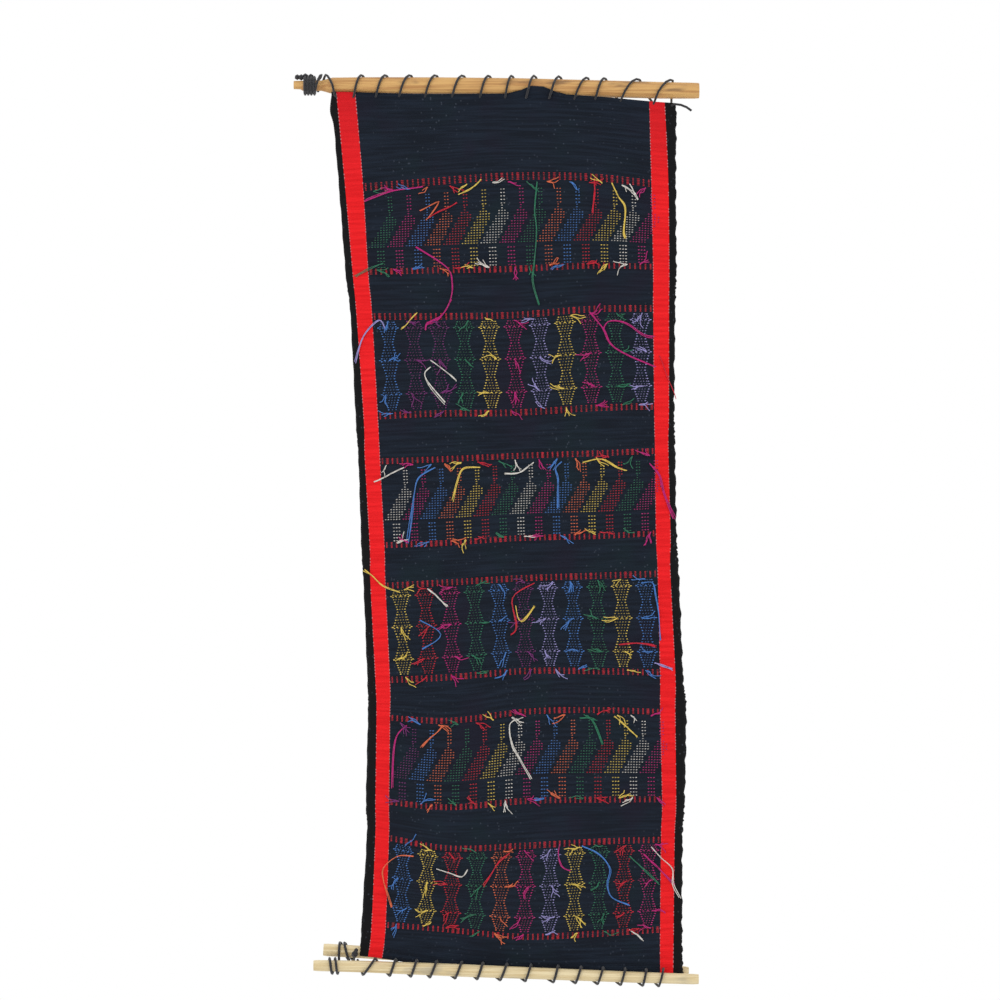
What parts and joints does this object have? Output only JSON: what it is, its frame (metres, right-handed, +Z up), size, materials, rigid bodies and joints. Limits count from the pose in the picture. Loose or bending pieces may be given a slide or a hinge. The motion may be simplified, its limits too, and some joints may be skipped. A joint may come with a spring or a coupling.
{
  "type": "woven wall tapestry with its wooden hanging rods",
  "caption": "Narrow dark woven wall tapestry with red side stripes and brocaded bands whose loose yarn ends hang on its face, lashed to a wooden hanging rod above and two rods below.",
  "frame": {"origin": "on the hanging rod's axis, midway along the part of it that the cloth is lashed to", "axes": "+X to the right of the face with the loose yarn ends, +Z up, +Y into the wall behind the cloth"},
  "size_m": [0.4255, 0.0411, 0.9588],
  "materials": {
    "dark_cloth": "warp-faced cotton weave, blue-black with red side stripes, matt",
    "brocade_yarn": "soft acrylic brocade yarns in mixed bright colours, matt",
    "golden_wood": "peeled stick with a soft sheen",
    "pale_wood": "pale peeled stick, dry and matt",
    "black_cord": "twisted black cotton cord, matt"
  },
  "bodies": {
    "root": {"woven_panel": "dark_cloth", "brocade_1": "brocade_yarn", "brocade_2": "brocade_yarn", "brocade_3": "brocade_yarn", "brocade_4": "brocade_yarn", "brocade_5": "brocade_yarn", "brocade_6": "brocade_yarn", "top_rod": "golden_wood", "bottom_rod": "pale_wood", "back_rod": "pale_wood", "top_lashing": "black_cord", "bottom_lashing": "black_cord", "corner_tie": "black_cord", "end_wrap": "black_cord"}
  },
  "joints": []
}
